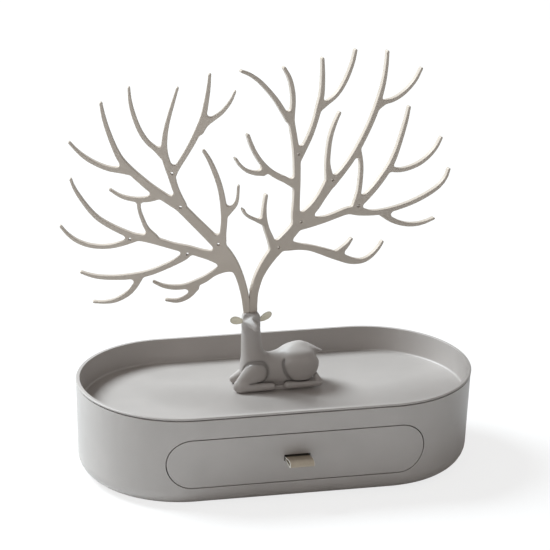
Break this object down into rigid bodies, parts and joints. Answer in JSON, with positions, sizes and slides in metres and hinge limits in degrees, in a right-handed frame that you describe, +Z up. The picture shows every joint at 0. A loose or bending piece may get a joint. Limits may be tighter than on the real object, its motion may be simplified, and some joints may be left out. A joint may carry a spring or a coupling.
{
  "type": "jewelry stand with drawer",
  "caption": "Oval jewellery stand: a shallow tray over a pull-out drawer, with a lying deer whose flat branching antlers are the rack.",
  "frame": {"origin": "on the table under the middle of the oval base", "axes": "+X along the base to the right, +Y away from the drawer front, +Z up"},
  "size_m": [0.2747, 0.1503, 0.2798],
  "materials": {
    "shell": "warm grey satin",
    "inside": "warm grey satin",
    "figure": "warm grey satin",
    "ears": "pale cream satin",
    "strip": "smooth beige",
    "pad": "matt black",
    "steel": "plated"
  },
  "bodies": {
    "stand": {"case": "shell", "base_pad": "pad", "tray": "shell", "tray_screws": "steel", "runner_left": "inside", "runner_right": "inside", "runner_screws": "steel", "deer_base": "figure", "deer_body": "figure", "deer_screws": "steel", "ear_left": "ears", "ear_right": "ears", "antler_left": "figure", "antler_right": "figure"},
    "drawer": {"drawer_front": "shell", "drawer_bin": "inside", "front_screws": "steel", "pull_strip": "strip", "pull_clamp": "steel", "pull_screws": "steel"}
  },
  "joints": [
    {"name": "drawer_slide", "type": "slide", "parent": "stand", "child": "drawer", "axis": [0, -1, 0], "range_m": [0, 0.095]}
  ]
}
